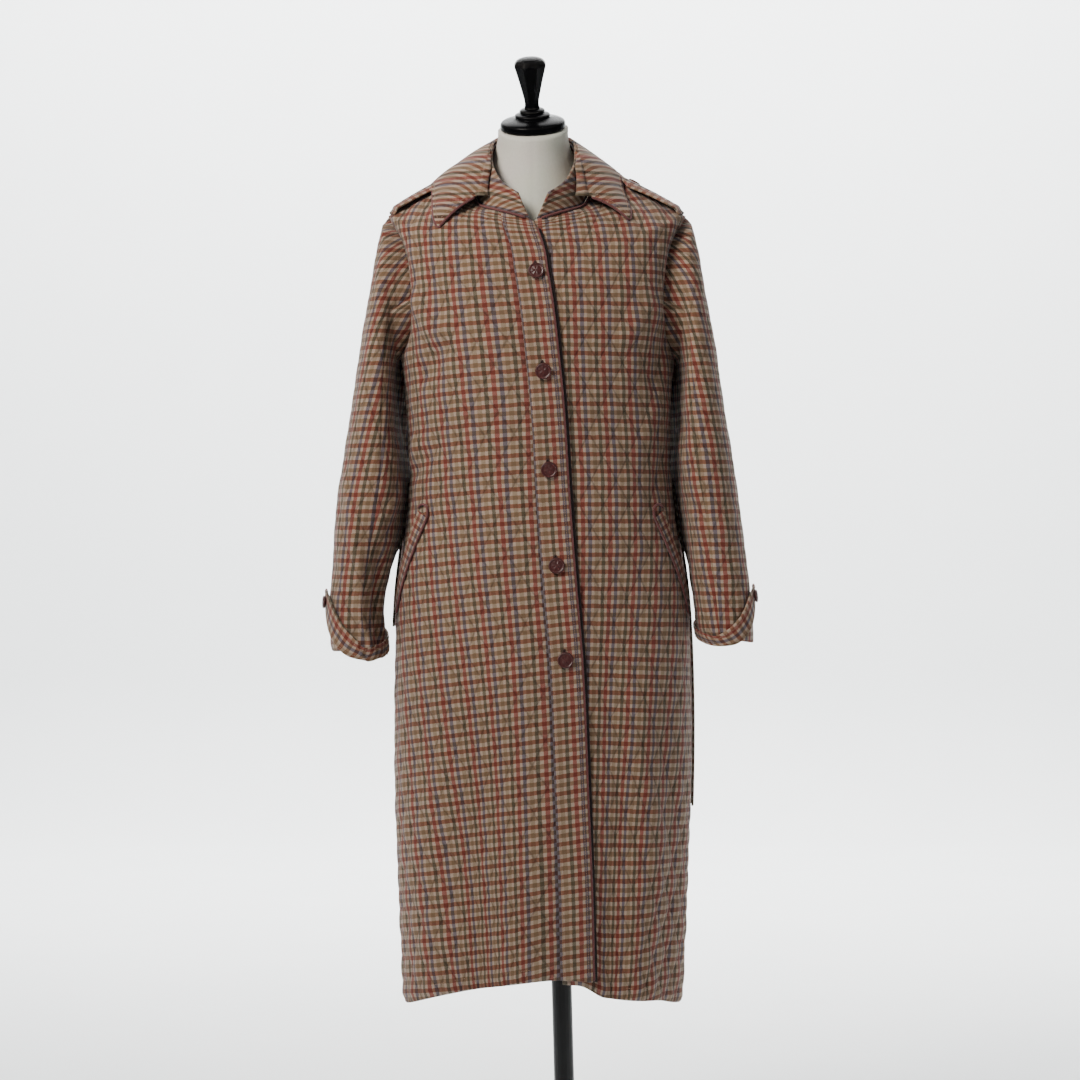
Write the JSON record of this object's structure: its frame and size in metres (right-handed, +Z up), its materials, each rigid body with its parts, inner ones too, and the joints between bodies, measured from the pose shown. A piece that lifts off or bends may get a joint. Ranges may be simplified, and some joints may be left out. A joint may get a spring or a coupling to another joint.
{
  "type": "quilted coat on dress form",
  "caption": "Long check quilted coat with collar, epaulettes, slanted pockets and a belt at the back, hanging buttoned on a limbless dress form with pole and round base.",
  "frame": {"origin": "centre of the underside of the round base", "axes": "+Z up the pole, -Y out of the front of the coat, +X to its wearer's left"},
  "size_m": [0.6083, 0.37, 1.5819],
  "materials": {
    "check_cloth": "matt woven check, quilted",
    "piping_cloth": "matt twill over cord",
    "button_plastic": "half gloss",
    "form_canvas": "matt canvas over a shell",
    "black_lacquer": "gloss black lacquer",
    "black_steel": "satin black"
  },
  "bodies": {
    "root": {"right_front": "check_cloth", "right_front_placket": "check_cloth", "left_front": "check_cloth", "back": "check_cloth", "right_sleeve_outer": "check_cloth", "right_sleeve_under": "check_cloth", "left_sleeve_outer": "check_cloth", "left_sleeve_under": "check_cloth", "collar_stand": "check_cloth", "collar_leaf": "check_cloth", "right_epaulette": "check_cloth", "left_epaulette": "check_cloth", "right_pocket_welt": "check_cloth", "left_pocket_welt": "check_cloth", "right_cuff_strap": "check_cloth", "left_cuff_strap": "check_cloth", "belt": "check_cloth", "right_belt_loop": "check_cloth", "left_belt_loop": "check_cloth", "collar_piping": "piping_cloth", "right_neck_piping": "piping_cloth", "left_neck_piping": "piping_cloth", "front_edge_piping": "piping_cloth", "right_pocket_piping": "piping_cloth", "left_pocket_piping": "piping_cloth", "right_epaulette_button": "button_plastic", "left_epaulette_button": "button_plastic", "right_cuff_button": "button_plastic", "left_cuff_button": "button_plastic", "collar_button": "button_plastic", "front_button_1": "button_plastic", "front_button_2": "button_plastic", "front_button_3": "button_plastic", "front_button_4": "button_plastic", "front_button_5": "button_plastic", "form_torso": "form_canvas", "neck_cap": "black_lacquer", "finial": "black_lacquer", "stand_pole": "black_steel", "stand_base": "black_steel"}
  },
  "joints": []
}
